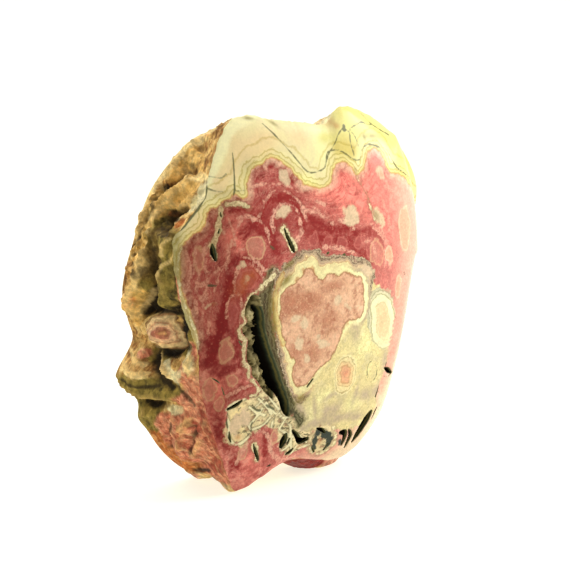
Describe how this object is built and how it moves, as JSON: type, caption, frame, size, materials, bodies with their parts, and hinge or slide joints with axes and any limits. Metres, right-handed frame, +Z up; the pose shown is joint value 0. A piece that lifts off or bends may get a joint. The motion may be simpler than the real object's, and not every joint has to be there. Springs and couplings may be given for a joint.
{
  "type": "rhodochrosite slice",
  "caption": "Thick slice of banded pink rhodochrosite that stands on its lower edge, with a polished domed face, an open slot, a rough knobbly rim and a flat sawn back.",
  "frame": {"origin": "on the floor under the middle of the stone's box, between its feet", "axes": "+Z up as the slice stands, +X to the right along the polished face as seen from the front, +Y from the polished face towards the sawn back"},
  "size_m": [0.0616, 0.0164, 0.0627],
  "materials": {
    "rhodochrosite": "polished face with pink and cream bands, rough brown rim, matte sawn back"
  },
  "bodies": {
    "root": {"slice": "rhodochrosite"}
  },
  "joints": []
}
